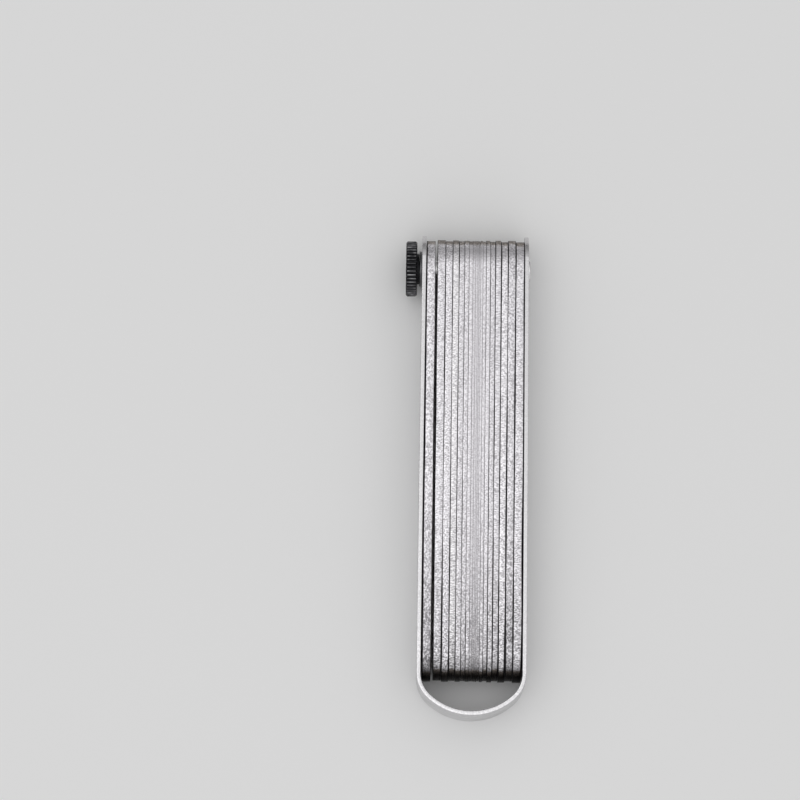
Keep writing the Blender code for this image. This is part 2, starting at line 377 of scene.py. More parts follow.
def threaded(name, low, high, crest, depth, pitch, steps):
    """A threaded rod on the pivot's axis from one X to another, cut off square."""
    turns = math.ceil((high - low) / pitch) + int(2 * THREAD_SPARE)
    start = low - THREAD_SPARE * pitch
    points = [
        Vector((start + share * pitch, PIVOT.y, PIVOT.z + crest - depth * (1 - rise)))
        for share, rise in THREAD_TOOTH
    ]
    start_line(points[0])
    draw_line(points)
    go_to("OBJECT")
    bpy.context.scene.cursor.location = PIVOT
    bpy.ops.object.origin_set(type="ORIGIN_CURSOR")
    finish_with(
        "SCREW", axis="X", angle=math.tau, screw_offset=pitch, iterations=turns,
        steps=steps, render_steps=steps, use_merge_vertices=True, merge_threshold=WELD,
    )
    edit()
    for x, keep_above in ((low, True), (high, False)):
        pick_all()
        bpy.ops.mesh.bisect(
            plane_co=(x, PIVOT.y, PIVOT.z), plane_no=ACROSS, use_fill=True,
            clear_inner=keep_above, clear_outer=not keep_above, threshold=WELD,
        )
    close_up()
    return leave(name)


def round_plate(radius, middle, vertices, fill="NOTHING"):
    """A circle that faces along X, round a point, as a new piece in edit mode."""
    start_clean()
    bpy.ops.mesh.primitive_circle_add(
        vertices=vertices, radius=radius, fill_type=fill, location=middle, rotation=FACING_X
    )
    edit()


def hand_over(piece, node, body, materials):
    """Set the piece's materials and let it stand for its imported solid."""
    for material in materials:
        piece.data.materials.append(material)
    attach(piece, body)
    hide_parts(node)


def assign(index):
    """In edit mode, give the selected faces one of the object's materials."""
    bpy.context.object.active_material_index = index
    bpy.ops.object.material_slot_assign()


# Materials


def put(tree, kind, inputs=None, **settings):
    """A new shader node. Its inputs are given values, or outputs to link from."""
    made = tree.nodes.new(kind)
    for key, value in settings.items():
        setattr(made, key, value)
    for key, value in (inputs or {}).items():
        if isinstance(value, bpy.types.NodeSocket):
            tree.links.new(value, made.inputs[key])
        else:
            made.inputs[key].default_value = value
    return made


def new_group(name, outputs, **numbers):
    """A shader node group that takes a vector and some numbers, each with its default."""
    tree = bpy.data.node_groups.new(name, "ShaderNodeTree")
    new_socket = tree.interface.new_socket
    new_socket("Vector", in_out="INPUT", socket_type="NodeSocketVector")
    for key, default in numbers.items():
        socket = new_socket(key.capitalize(), in_out="INPUT", socket_type="NodeSocketFloat")
        socket.default_value = default
    for label in outputs:
        new_socket(label, in_out="OUTPUT", socket_type="NodeSocketFloat")
    return tree, tree.nodes.new("NodeGroupInput").outputs, tree.nodes.new("NodeGroupOutput")


def noise(tree, vector, scale, detail, roughness):
    inputs = {"Vector": vector, "Scale": scale, "Detail": detail, "Roughness": roughness}
    return put(tree, "ShaderNodeTexNoise", inputs).outputs["Fac"]


def spread_out(tree, value, low, high):
    """Stretch a value so that low becomes 0 and high becomes 1."""
    inputs = {"Value": value, "From Min": low, "From Max": high}
    return put(tree, "ShaderNodeMapRange", inputs).outputs["Result"]


def math_node(tree, operation, first, second):
    made = put(tree, "ShaderNodeMath", {0: first, 1: second}, operation=operation)
    return made.outputs["Value"]


def times(tree, first, second):
    return math_node(tree, "MULTIPLY", first, second)


def squared(tree, value):
    return math_node(tree, "POWER", value, 2.0)


def weighed(tree, first, share, second, rest):
    """The sum of two values, each times its share."""
    return math_node(tree, "ADD", times(tree, first, share), times(tree, second, rest))


def give(tree, out, **values):
    """Link a group's outputs."""
    for key, value in values.items():
        tree.links.new(value, out.inputs[key.capitalize()])


def varied(index, step, start=0.0):
    """A share from 0 to 1 that seems random from blade to blade."""
    return (start + index * step) % 1.0


def grain_group():
    """Fine speckle of a sheared or ground edge, with slow patches."""
    tree, given, out = new_group(
        "grain", ["Speckle", "Patch", "Height"], scale=3000.0, patches=300.0
    )
    vector, scale = given["Vector"], given["Scale"]
    coarse = noise(tree, vector, scale, 1.0, 0.5)
    fine = noise(tree, vector, times(tree, scale, 2.6), 2.0, 0.6)
    both = weighed(tree, coarse, 0.75, fine, 0.25)
    patch = noise(tree, vector, given["Patches"], 3.0, 0.5)
    give(
        tree, out, speckle=spread_out(tree, both, 0.38, 0.62),
        patch=spread_out(tree, patch, 0.35, 0.65), height=both,
    )


def gap_shade_group():
    """Painted shade along both long corners, where the narrow gaps between blades lie in shade, in
    runs that thin out and swell.
    """
    tree, given, out = new_group("gap_shade", ["Mask"], low=0.0, high=0.001, reach=0.0001, line=0.0)
    spot = put(tree, "ShaderNodeSeparateXYZ", {"Vector": given["Vector"]}).outputs
    along = times(tree, spot["Y"], 30.0)
    first = times(tree, given["Line"], GAP_SHADE_SHIFT)
    second = math_node(tree, "ADD", first, GAP_SHADE_SHIFT)
    sides = (
        (math_node(tree, "SUBTRACT", spot["X"], given["Low"]), first),
        (math_node(tree, "SUBTRACT", given["High"], spot["X"]), second),
    )
    masks = []
    for depth, seed in sides:
        inputs = {"W": math_node(tree, "ADD", along, seed), "Scale": 1.0, "Detail": 3.0}
        run = put(tree, "ShaderNodeTexNoise", inputs, noise_dimensions="1D").outputs["Fac"]
        swell = lerp(tree, spread_out(tree, run, 0.32, 0.68), 0.45, 1.2)
        reach = times(tree, swell, given["Reach"])
        masks.append(spread_out(tree, depth, reach, times(tree, reach, 0.6)))
    give(tree, out, mask=math_node(tree, "MAXIMUM", *masks))


def end_shade_group():
    """Painted shade at both round ends of a blade, where they curve away from the light, how deep
    into it, and how much darker the edge grows towards the tip.
    """
    tree, given, out = new_group(
        "scale", ["Mask", "Depth", "Stain"], low=0.0, high=0.1, reach=0.0016
    )
    vector, reach = given["Vector"], given["Reach"]
    y = put(tree, "ShaderNodeSeparateXYZ", {"Vector": vector}).outputs["Y"]
    from_tip = math_node(tree, "SUBTRACT", y, given["Low"])
    to_end = math_node(tree, "SUBTRACT", given["High"], y)
    from_end = weighed(tree, to_end, 0.4, reach, 0.6)
    nearest = math_node(tree, "MINIMUM", from_tip, from_end)
    ragged = lerp(tree, noise(tree, vector, 3200.0, 2.0, 0.6), -0.0004, 0.0004)
    border = math_node(tree, "ADD", nearest, ragged)
    inner = times(tree, reach, 0.85)
    deep = times(tree, reach, 0.4)
    towards_tip = spread_out(tree, y, DARKEN_START, given["Low"])
    give(
        tree, out, mask=spread_out(tree, border, reach, inner),
        depth=spread_out(tree, border, inner, deep), stain=squared(tree, towards_tip),
    )


def brushing_group():
    """Streaks along Y of a vector that has been stretched to suit."""
    tree, given, out = new_group("brushing", ["Streaks", "Height"], scale=6000.0)
    vector, scale = given["Vector"], given["Scale"]
    fine = noise(tree, vector, scale, 3.0, 0.6)
    broad = noise(tree, vector, times(tree, scale, 0.17), 2.0, 0.5)
    both = weighed(tree, fine, 0.65, broad, 0.35)
    give(tree, out, streaks=spread_out(tree, both, 0.36, 0.64), height=both)


def handling_group():
    """Smudges and scattered fine scratches of a tool that has been handled."""
    tree, given, out = new_group("handling", ["Smudges", "Scratches"])
    vector = given["Vector"]
    smudge = noise(tree, vector, 140.0, 4.0, 0.6)
    turned_about = put(
        tree, "ShaderNodeMapping",
        {"Vector": vector, "Rotation": (0.4, 0.3, 0.5), "Scale": (900.0, 60.0, 900.0)},
    )
    cells = put(
        tree, "ShaderNodeTexVoronoi",
        {"Vector": turned_about.outputs["Vector"], "Scale": 1.0, "Randomness": 1.0},
        feature="DISTANCE_TO_EDGE",
    )
    where = spread_out(tree, noise(tree, vector, 420.0, 2.0, 0.5), 0.52, 0.66)
    lines = spread_out(tree, cells.outputs["Distance"], 0.022, 0.004)
    give(
        tree, out, smudges=spread_out(tree, smudge, 0.36, 0.66),
        scratches=times(tree, lines, where),
    )


def rings_group():
    """Distance from the pivot's axis, and the fine rings that a lathe leaves round it."""
    tree, given, out = new_group("turning rings", ["Radius", "Rings"], scale=9000.0)
    flat = put(
        tree, "ShaderNodeVectorMath", {0: given["Vector"], 1: (0, 1, 1)}, operation="MULTIPLY"
    )
    reach = put(
        tree, "ShaderNodeVectorMath", {0: flat.outputs["Vector"]}, operation="LENGTH"
    ).outputs["Value"]
    inputs = {"W": reach, "Scale": given["Scale"], "Detail": 3.0, "Roughness": 0.6}
    rings = put(tree, "ShaderNodeTexNoise", inputs, noise_dimensions="1D").outputs["Fac"]
    give(tree, out, radius=reach, rings=spread_out(tree, rings, 0.36, 0.64))


def new_material(name, metallic):
    """A material with its tree, its Principled shader and the piece's own coordinates."""
    material = bpy.data.materials.new(name)
    material.use_nodes = True
    tree = material.node_tree
    shader = tree.nodes["Principled BSDF"]
    shader.inputs["Metallic"].default_value = metallic
    place = put(tree, "ShaderNodeTexCoord").outputs["Object"]
    return material, tree, shader, place


def use_group(tree, name, **inputs):
    named = {key.capitalize(): value for key, value in inputs.items()}
    return put(tree, "ShaderNodeGroup", named, node_tree=bpy.data.node_groups[name]).outputs


def mapped(tree, place, location=(0, 0, 0), scale=(1, 1, 1)):
    inputs = {"Vector": place, "Location": location, "Scale": scale}
    return put(tree, "ShaderNodeMapping", inputs).outputs["Vector"]


def blend(tree, factor, first, second):
    """Mix two colours, each a value or an output."""
    inputs = {"Factor": factor}
    for key, value in ((MIX_FIRST, first), (MIX_SECOND, second)):
        inputs[key] = value if isinstance(value, bpy.types.NodeSocket) else (*value, 1.0)
    return put(tree, "ShaderNodeMix", inputs, data_type="RGBA").outputs[MIX_RESULT]


def lerp(tree, factor, low, high):
    inputs = {"Value": factor, "To Min": low, "To Max": high}
    return put(tree, "ShaderNodeMapRange", inputs).outputs["Result"]


def dress(tree, shader, tone, rough, height, strength, distance):
    """Link a finish to its shader: colour, roughness, and the height of its bumps."""
    inputs = {"Height": height, "Strength": strength, "Distance": distance}
    bumps = put(tree, "ShaderNodeBump", inputs).outputs["Normal"]
    for key, value in (("Base Color", tone), ("Roughness", rough), ("Normal", bumps)):
        tree.links.new(value, shader.inputs[key])


def shade(colour, factor):
    return tuple(min(1.0, part * factor) for part in colour)


def tones(tree, factor, colour, first, second):
    """From one tone of a colour to another."""
    return blend(tree, factor, shade(colour, first), shade(colour, second))


def cover(tree, mask, share, under, over):
    """Lay one colour over another where a mask says, up to a share."""
    return blend(tree, lerp(tree, mask, 0.0, share), under, over)


def rings_round_pivot(tree, place, scale):
    return use_group(tree, "turning rings", vector=mapped(tree, place, tuple(-PIVOT)), scale=scale)


def blade_edge_steel(settings, index, low, high):
    """Ground edge of one blade: bright speckle, painted shade on the round ends and along the gaps
    at the long corners, darker towards the tip.
    """
    material, tree, shader, place = new_material(f"blade_edge_{index + 1:02d}", 1.0)
    turn = varied(index, GOLDEN)
    stretch = (1.0 - 0.55 * turn, 0.75 + 0.6 * turn, 0.8)
    vector = mapped(tree, place, (0.013 * index, 0.029 * index, 0.007 * index), stretch)
    grain = use_group(tree, "grain", vector=vector, scale=2900.0 + 700.0 * turn, patches=260.0)
    ends = use_group(
        tree, "scale", vector=place, low=low.y, high=high.y,
        reach=settings.end_shade_reach * (0.88 + 0.24 * turn),
    )
    tone = 0.92 + 0.14 * varied(index, 0.27, 0.14)
    thick = min(1.0, max(0.0, (high.x - low.x - THIN_BLADE) / THICK_MORE))
    light = shade(settings.edge_light, tone * (0.84 + 0.16 * thick))
    dark = shade(settings.edge_dark, tone * (1.40 - 0.40 * thick))
    # From here the edge grows darker towards the tip: its speckle, its dark grain and its light
    # grain.
    darkening_share = 0.05 + 0.42 * varied(index, 0.55, 0.97) ** 2 if thick else 0.4
    stained = math_node(
        tree, "SUBTRACT", grain["Speckle"], lerp(tree, ends["Stain"], 0.0, darkening_share)
    )
    dark_towards_tip = blend(tree, ends["Stain"], dark, shade(dark, 0.3))
    dulled = blend(tree, ends["Stain"], light, shade(light, 0.9))
    mixed = blend(tree, stained, dark_towards_tip, dulled)
    patched = cover(tree, grain["Patch"], 0.3, mixed, shade(light, 0.92))
    # Painted shade on the round ends: lighter and speckled where it starts, darkest at the very
    # end.
    rough = tones(tree, grain["Speckle"], settings.scale, 1.8, 4.6)
    painted_end_shade = blend(tree, ends["Depth"], rough, shade(settings.scale, 0.35))
    end_shaded = blend(tree, ends["Mask"], patched, painted_end_shade)
    # Painted shade in the gaps along both long corners: more on the +X half, beside the -X leg,
    # and wider towards the tip.
    reach = settings.gap_shade_reach * max(0.02, thick)
    if low.x > PIVOT.x:
        reach *= settings.gap_shade_gain
    outermost = low.x if index else low.x + settings.outer_gap_shade
    gap_shade = use_group(
        tree, "gap_shade", vector=place, low=outermost, high=high.x,
        reach=lerp(tree, ends["Stain"], reach, 1.7 * reach), line=float(index),
    )
    gap_shaded = blend(tree, gap_shade["Mask"], end_shaded, settings.gap_shade)
    dull = lerp(tree, grain["Speckle"], 0.52, 0.34)
    dress(tree, shader, gap_shaded, dull, grain["Height"], 0.35, 0.00004)
    return material


def blade_face_steel(settings):
    """Ground faces: fine lines along the blade, with faint handling marks."""
    material, tree, shader, place = new_material("blade_face", 1.0)
    along = mapped(tree, place, scale=(1, 0.02, 1))
    lines = use_group(tree, "brushing", vector=along, scale=5200.0)
    marks = use_group(tree, "handling", vector=place)
    ground = tones(tree, lines["Streaks"], settings.face, 0.78, 1.14)
    smudged = cover(tree, marks["Smudges"], 0.3, ground, shade(settings.face, 0.8))
    scratched = blend(tree, marks["Scratches"], smudged, shade(settings.face, 1.35))
    dull = lerp(tree, lines["Streaks"], 0.40, 0.27)
    dress(tree, shader, scratched, dull, lines["Height"], 0.25, 0.00003)
    return material


def etched_number(settings):
    """Dark, slightly uneven etch."""
    material, tree, shader, place = new_material("blade_number", 0.5)
    grain = use_group(tree, "grain", vector=place, scale=5000.0, patches=700.0)
    tone = tones(tree, grain["Speckle"], settings.etch, 0.7, 1.7)
    dull = lerp(tree, grain["Patch"], 0.5, 0.7)
    dress(tree, shader, tone, dull, grain["Height"], 0.3, 0.00002)
    return material


def bow_edge_steel(settings):
    """Rounded edges of the strip: bright, with a fine grain."""
    material, tree, shader, place = new_material("bow_edge", 1.0)
    grain = use_group(tree, "grain", vector=place, scale=3400.0, patches=240.0)
    tone = tones(tree, grain["Speckle"], settings.steel, 0.70, 0.86)
    dulled = cover(tree, grain["Patch"], 0.4, tone, shade(settings.steel, 0.72))
    rough = lerp(tree, grain["Speckle"], 0.30, 0.20)
    dress(tree, shader, dulled, rough, grain["Height"], 0.15, 0.00002)
    return material


def bow_steel(settings):
    """Polished faces of the strip: lines along it and handling have dulled the mirror."""
    material, tree, shader, place = new_material("bow_face", 1.0)
    along = mapped(tree, place, scale=(0.03, 0.03, 1))
    lines = use_group(tree, "brushing", vector=along, scale=4200.0)
    marks = use_group(tree, "handling", vector=place)
    clean = tones(tree, lines["Streaks"], settings.steel, 0.60, 0.80)
    smudged = cover(tree, marks["Smudges"], 0.5, clean, shade(settings.steel, 0.54))
    scratched = blend(tree, marks["Scratches"], smudged, shade(settings.steel, 0.47))
    rough = math_node(tree, "ADD", lerp(tree, lines["Streaks"], 0.12, 0.19),
                      lerp(tree, marks["Smudges"], 0.0, 0.10))
    dress(tree, shader, scratched, rough, lines["Height"], 0.12, 0.00002)
    return material


def turned_steel(name, steel, low, high):
    """Bright turned metal with rings round the pivot's axis."""
    material, tree, shader, place = new_material(name, 1.0)
    rings = rings_round_pivot(tree, place, 9000.0)
    marks = use_group(tree, "handling", vector=place)
    tone = tones(tree, rings["Rings"], steel, 0.86, 1.08)
    smudged = cover(tree, marks["Smudges"], 0.4, tone, shade(steel, 0.8))
    rough = lerp(tree, rings["Rings"], high, low)
    dress(tree, shader, smudged, rough, rings["Rings"], 0.12, 0.00002)
    return material


def nut_black(settings):
    """Blackened steel, lighter along the crests of the ridges: partly rubbed bare, partly a
    painted highlight where the crests would glint.
    """
    material, tree, shader, place = new_material("nut_black", 1.0)
    rings = rings_round_pivot(tree, place, 7000.0)
    grain = use_group(tree, "grain", vector=place, scale=2600.0, patches=500.0)
    # Lighter crests: partly steel rubbed bare, partly a painted highlight where the ridges would
    # glint.
    crest = spread_out(
        tree, rings["Radius"], settings.radius - 0.55 * settings.ridge_depth, settings.radius
    )
    patchy = lerp(tree, squared(tree, grain["Patch"]), 0.12, 1.0)
    crest_wear_and_glint = times(tree, crest, patchy)
    black = tones(tree, grain["Speckle"], settings.black, 0.7, 1.6)
    worn_and_glint = blend(tree, crest_wear_and_glint, black, settings.worn_and_glint)
    rough = lerp(tree, grain["Speckle"], 0.28, 0.42)
    dress(tree, shader, worn_and_glint, rough, rings["Rings"], 0.10, 0.00002)
    return material


# Pieces


class FEELER_OT_finishes(bpy.types.Operator):
    """Build the effects that several finishes share"""

    bl_idname = "feeler.finishes"
    bl_label = "Shared finishes"

    def execute(self, context):
        for build in (
            grain_group, gap_shade_group, end_shade_group, brushing_group, handling_group, rings_group
        ):
            build()
        return {"FINISHED"}


class FEELER_OT_bow(bpy.types.Operator):
    """Bend the strip of the bow, round its leg ends and bore them"""

    bl_idname = "feeler.bow"
    bl_label = "Bow"

    def execute(self, context):
        settings = context.scene.feeler_bow
        low, width = BOW_LOW.z, BOW_HIGH.z - BOW_LOW.z
        path = [(PIVOT.x + x, PIVOT.y + y, low) for x, y in self.path(settings)]
        start_line(path[0])
        draw_line(path)
        bpy.ops.mesh.select_mode(type="EDGE")
        pick_all()
        extrude((0, 0, width))
        close_up()
        bow = leave("bow_strip")
        finish_with("SOLIDIFY", thickness=settings.strip, offset=0, use_even_offset=True)
        combine(bow, self.end_shape(settings), "INTERSECT")
        reach = BOW_HIGH.x - BOW_LOW.x + 2 * CUT_MARGIN
        round_plate(settings.bore, PIVOT - Vector((reach / 2, 0, 0)), BORE_FACETS, "NGON")
        thicken(reach)
        combine(bow, leave("leg_bore"), "DIFFERENCE")
        take(bow)
        finish_with(
            "BEVEL", width=settings.edge_round, segments=4, limit_method="ANGLE",
            angle_limit=math.radians(50),
        )
        smooth(bow, 30)
        finish_with("WEIGHTED_NORMAL", keep_sharp=True)
        hand_over(bow, "bow", "bow", [bow_steel(settings), bow_edge_steel(settings)])
        take(bow)
        go_to("EDIT")
        pick("FACE", self.is_edge)
        assign(1)
        start_clean()
        return {"FINISHED"}

    def is_edge(self, face):
        """Along the legs and the closed end edges face up or down, and at leg ends away from X."""
        if face.calc_center_median().y > PIVOT.y:
            return abs(face.normal.x) < STEEP
        return abs(face.normal.z) > STEEP

    def path(self, settings):
        """The middle of the strip round the pivot, from the -X leg's end to the +X leg's end."""
        half = (BOW_HIGH.x - BOW_LOW.x - settings.strip) / 2
        end_y = BOW_LOW.y - PIVOT.y + settings.strip / 2
        corner_y = end_y + settings.corner + settings.bulge
        corner_x = half - settings.corner
        rise = settings.corner + settings.bulge
        crown = (corner_x**2 + rise**2 - settings.corner**2) / (2 * settings.bulge)
        meet = math.atan2(corner_y - end_y - crown, corner_x)
        steps = settings.bend_steps
        side = []
        for i in range(1, steps + 1):
            turn = -math.pi / 2 + (meet + math.pi / 2) * i / steps
            side.append((crown * math.cos(turn), end_y + crown + crown * math.sin(turn)))
        for i in range(1, steps + 1):
            turn = meet * (1 - i / steps)
            side.append((corner_x + settings.corner * math.cos(turn),
                         corner_y + settings.corner * math.sin(turn)))
        top = BOW_HIGH.y - PIVOT.y + CUT_MARGIN
        for i in range(1, settings.leg_steps + 1):
            y = corner_y + (top - corner_y) * i / settings.leg_steps
            share = 1 - y / corner_y
            side.append((half - settings.spread * (3 * share**2 - share**3) / 2, y))
        return [(-x, y) for x, y in reversed(side)] + [(0, end_y)] + side

    def end_shape(self, settings):
        """A long round-ended block, as seen from the side, that the legs are trimmed to."""
        reach = BOW_HIGH.x - BOW_LOW.x + 2 * CUT_MARGIN
        middle = PIVOT + Vector((-reach / 2, settings.end_rise, 0))
        round_plate(settings.end_radius, middle, END_FACETS, "NGON")
        pick("VERT", lambda v: v.co.y < middle.y - NEAR)
        down = BOW_LOW.y - middle.y - CUT_MARGIN
        bpy.ops.transform.translate(value=(0, down, 0))
        thicken(reach)
        return leave("leg_end_shape")


class FEELER_OT_blades(bpy.types.Operator):
    """Stamp the blank once, then give each blade its thickness, corners and number"""

    bl_idname = "feeler.blades"
    bl_label = "Blades"

    def execute(self, context):
        settings = context.scene.feeler_blades
        blank = self.blank(settings)
        face, etch = blade_face_steel(settings), etched_number(settings)
        order = sorted(BLADES, key=lambda name: BLADE_BOX[name][0].x)
        for index, name in enumerate(order):
            low, high = BLADE_BOX[name]
            blade = self.cut_from(blank, settings, low, high, index)
            blade.name = blade.data.name = f"{name}_leaf"
            edge = blade_edge_steel(settings, index, low, high)
            hand_over(blade, name, name, [face, edge, etch])
            self.number(blade, settings, low, high)
            self.colour_faces(blade, settings, low)
            smooth(blade, 20)
        bpy.data.objects.remove(blank)
        return {"FINISHED"}

    def blank(self, settings):
        """The flat outline with its hole, where the first blade's would be without play."""
        low, high = BLADE_BOX[BLADES[0]]
        radius = (high.z - low.z) / 2
        reach = high.y - low.y - 2 * radius
        middle = Vector((0, PIVOT.y, PIVOT.z))
        round_plate(radius, middle, 2 * settings.facets)
        pick("VERT", lambda v: v.co.y < middle.y - NEAR)
        bpy.ops.mesh.delete(type="VERT")
        pick("VERT", lambda v: abs(v.co.y - middle.y) < NEAR)
        extrude((0, -reach, 0))
        tip = middle - Vector((0, reach, 0))
        pick("VERT", lambda v: abs(v.co.y - tip.y) < NEAR and v.co.z > tip.z)
        bpy.ops.mesh.spin(steps=settings.facets, angle=-math.pi, center=tip, axis=ACROSS)
        close_up()
        bpy.ops.mesh.primitive_circle_add(
            vertices=2 * settings.facets, radius=settings.bore, location=middle, rotation=FACING_X
        )
        pick_all()
        bpy.ops.mesh.fill(use_beauty=True)
        return leave("blade_blank")

    def cut_from(self, blank, settings, low, high, index):
        """A copy of the blank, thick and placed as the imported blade, with rounded corners."""
        take(blank)
        bpy.ops.object.duplicate(linked=False)
        blade = bpy.context.active_object
        radius = (high.z - low.z) / 2
        blade.location = (low.x, high.y - radius - PIVOT.y, 0)
        edit()
        thickness = high.x - low.x
        thicken(thickness)
        wear = 0.75 + 0.5 * varied(index, GOLDEN)
        corner = min(settings.corner * wear, settings.corner_share * thickness)
        pick("EDGE", self.is_rim)
        bpy.ops.mesh.bevel(offset=corner, segments=3, profile=0.5, affect="EDGES")
        go_to("OBJECT")
        return blade

    def is_rim(self, edge):
        if len(edge.link_faces) != 2:
            return False
        flat = [abs(face.normal.x) > FLAT for face in edge.link_faces]
        return flat[0] != flat[1]

    def number(self, blade, settings, low, high):
        """Etch the thickness in millimetres into the -X face, to read along the blade."""
        start_clean()
        bpy.ops.object.text_add()
        text = bpy.context.active_object
        text.data.body = f"{(high.x - low.x) * 1000:.2f}"
        text.data.size = settings.number_height / DIGIT_SHARE
        text.data.align_x = "CENTER"
        text.data.align_y = "CENTER"
        text.data.resolution_u = 6
        text.data.extrude = 2 * settings.number_depth
        bpy.ops.object.convert(target="MESH")
        text = bpy.context.active_object
        place = Vector((low.x - settings.number_depth, PIVOT.y - settings.number_place, PIVOT.z))
        turn = Matrix(((0, 0, -1), (-1, 0, 0), (0, 1, 0))).to_4x4()
        text.matrix_world = Matrix.Translation(place) @ turn
        edit()
        close_up()
        bpy.ops.mesh.beautify_fill()
        combine(blade, leave("number_form"), "DIFFERENCE")

    def colour_faces(self, blade, settings, low):
        """Ground faces, sheared edges and the etched number each get their own material."""
        take(blade)
        go_to("EDIT")
        depth = settings.number_depth
        clear = settings.number_height
        pick("FACE", lambda f: abs(f.normal.x) < FLAT)
        assign(1)
        pick("FACE", lambda f: abs(f.normal.x) > FLAT)
        assign(0)
        middle = PIVOT.y - settings.number_place

        def in_number(face):
            spot = face.calc_center_median()
            inside = abs(spot.y - middle) < 3 * clear and abs(spot.z - PIVOT.z) < clear
            return inside and low.x + 0.2 * depth < spot.x < low.x + 1.2 * depth

        pick("FACE", in_number)
        assign(2)
        go_to("OBJECT")


class FEELER_OT_pivot_screw(bpy.types.Operator):
    """Turn the pivot screw's domed head and shank, and cut its thread"""

    bl_idname = "feeler.pivot_screw"
    bl_label = "Pivot screw"

    def execute(self, context):
        settings = context.scene.feeler_screw
        top, end = SCREW_HIGH.x, SCREW_LOW.x
        seat = top - settings.head_height
        rounding = settings.head_round
        shoulder = settings.head - rounding
        dome = (shoulder**2 + settings.crown**2) / (2 * settings.crown)
        widest = math.asin(shoulder / dome)
        profile = [(top, 0)]
        for i in range(1, DOME_STEPS + 1):
            turn = widest * i / DOME_STEPS
            profile.append((top - dome * (1 - math.cos(turn)), dome * math.sin(turn)))
        rim = profile[-1][0] - rounding
        for i in range(1, ROUND_STEPS + 1):
            turn = math.pi / 2 * i / ROUND_STEPS
            profile.append((rim + rounding * math.cos(turn), shoulder + rounding * math.sin(turn)))
        ease = (rim - seat) / 2
        run_out = end + settings.thread_length
        profile += [
            (seat + ease, settings.head),
            (seat, settings.head - ease),
            (seat, settings.shank),
            (run_out, settings.shank),
            (run_out, 0),
        ]
        screw = turned("pivot_screw_turned", profile, settings.steps)
        thread = threaded(
            "pivot_thread", end - settings.pitch / 2, run_out + settings.pitch / 3,
            settings.shank - SPECK, settings.thread_depth, settings.pitch, settings.steps,
        )
        wide = settings.shank + settings.thread_depth
        envelope = turned(
            "thread_envelope",
            [(end, 0), (end, settings.shank - settings.chamfer),
             (end + settings.chamfer + settings.thread_depth, wide),
             (run_out + CUT_MARGIN, wide), (run_out + CUT_MARGIN, 0)],
            settings.steps,
        )
        combine(thread, envelope, "INTERSECT")
        combine(screw, thread, "UNION")
        smooth(screw, 25)
        steel = turned_steel("screw_steel", settings.steel, 0.20, 0.32)
        hand_over(screw, "pivot_screw", "bow", [steel])
        return {"FINISHED"}


class FEELER_OT_washer(bpy.types.Operator):
    """Stamp the washer, with one rolled and one sharp side"""

    bl_idname = "feeler.washer"
    bl_label = "Washer"

    def execute(self, context):
        settings = context.scene.feeler_washer
        low, high = WASHER_LOW.x, WASHER_HIGH.x
        radius, edge = (WASHER_HIGH.z - WASHER_LOW.z) / 2, settings.edge
        ring = []
        for i in range(ROLL_STEPS + 1):
            turn = math.pi / 2 * i / ROLL_STEPS
            ring.append((low + edge * (1 - math.sin(turn)), radius - edge * (1 - math.cos(turn))))
        profile = list(reversed(ring)) + [
            (high - edge / 4, radius),
            (high, radius - edge / 4),
            (high, settings.bore + edge / 4),
            (high - edge / 4, settings.bore),
            (low + edge, settings.bore),
            (low, settings.bore + edge),
        ]
        profile.append(profile[0])
        washer = turned("washer_ring", profile, settings.steps)
        smooth(washer, 25)
        steel = turned_steel("washer_steel", settings.steel, 0.24, 0.36)
        hand_over(washer, "washer", "washer", [steel])
        return {"FINISHED"}


class FEELER_OT_nut(bpy.types.Operator):
    """Turn the nut's blank, roll its ridges and tap its bore"""

    bl_idname = "feeler.nut"
    bl_label = "Knurled nut"

    def execute(self, context):
        settings = context.scene.feeler_nut
        screw = context.scene.feeler_screw
        face, seat = NUT_LOW.x, NUT_HIGH.x
        shoulder = seat - settings.collar_length
        spare = settings.chamfer / 2
        slope = settings.chamfer + spare
        ease = settings.chamfer / 3
        sink = settings.countersink
        profile = [
            (face, settings.bore + sink),
            (face, settings.radius - settings.chamfer),
            (face + slope, settings.radius + spare),
            (shoulder - slope, settings.radius + spare),
            (shoulder, settings.radius - settings.chamfer),
            (shoulder, settings.collar_radius),
            (seat - ease, settings.collar_radius),
            (seat, settings.collar_radius - ease),
            (seat, settings.bore + sink / 2),
            (seat - sink / 2, settings.bore),
            (face + sink, settings.bore),
            (face, settings.bore + sink),
        ]
        nut = turned("nut_knurled", profile, settings.steps)
        combine(nut, self.ridges(settings, face, seat), "INTERSECT")
        crest = settings.bore + settings.thread_groove
        tap = threaded(
            "nut_tap", face - TAP_MARGIN, seat + TAP_MARGIN, crest,
            settings.thread_groove + SPECK, screw.pitch, screw.steps,
        )
        combine(nut, tap, "DIFFERENCE")
        smooth(nut, 25)
        hand_over(nut, "knurled_nut", "nut", [nut_black(settings)])
        return {"FINISHED"}

    def ridges(self, settings, face, seat):
        """A long bar with a rounded ridge for each tooth of the knurl."""
        parts = 8
        sink = {1: 0.07, 2: 0.5, 3: 0.93, 4: 1.0}  # share of the depth, by parts from a crest
        middle = Vector((face - CUT_MARGIN, PIVOT.y, PIVOT.z))
        round_plate(settings.radius, middle, parts * settings.ridges, "NGON")
        step = math.tau / (parts * settings.ridges)

        def depth_of(vert):
            turn = math.atan2(vert.co.z - middle.z, vert.co.y - middle.y)
            spot = round(turn / step) % parts
            return min(spot, parts - spot)

        for spot, share in sink.items():
            pick("VERT", lambda v: depth_of(v) == spot)
            size = 1 - share * settings.ridge_depth / settings.radius
            bpy.ops.transform.resize(value=(1, size, size), center_override=middle)
        thicken(seat - face + 2 * CUT_MARGIN)
        return leave("knurl_form")


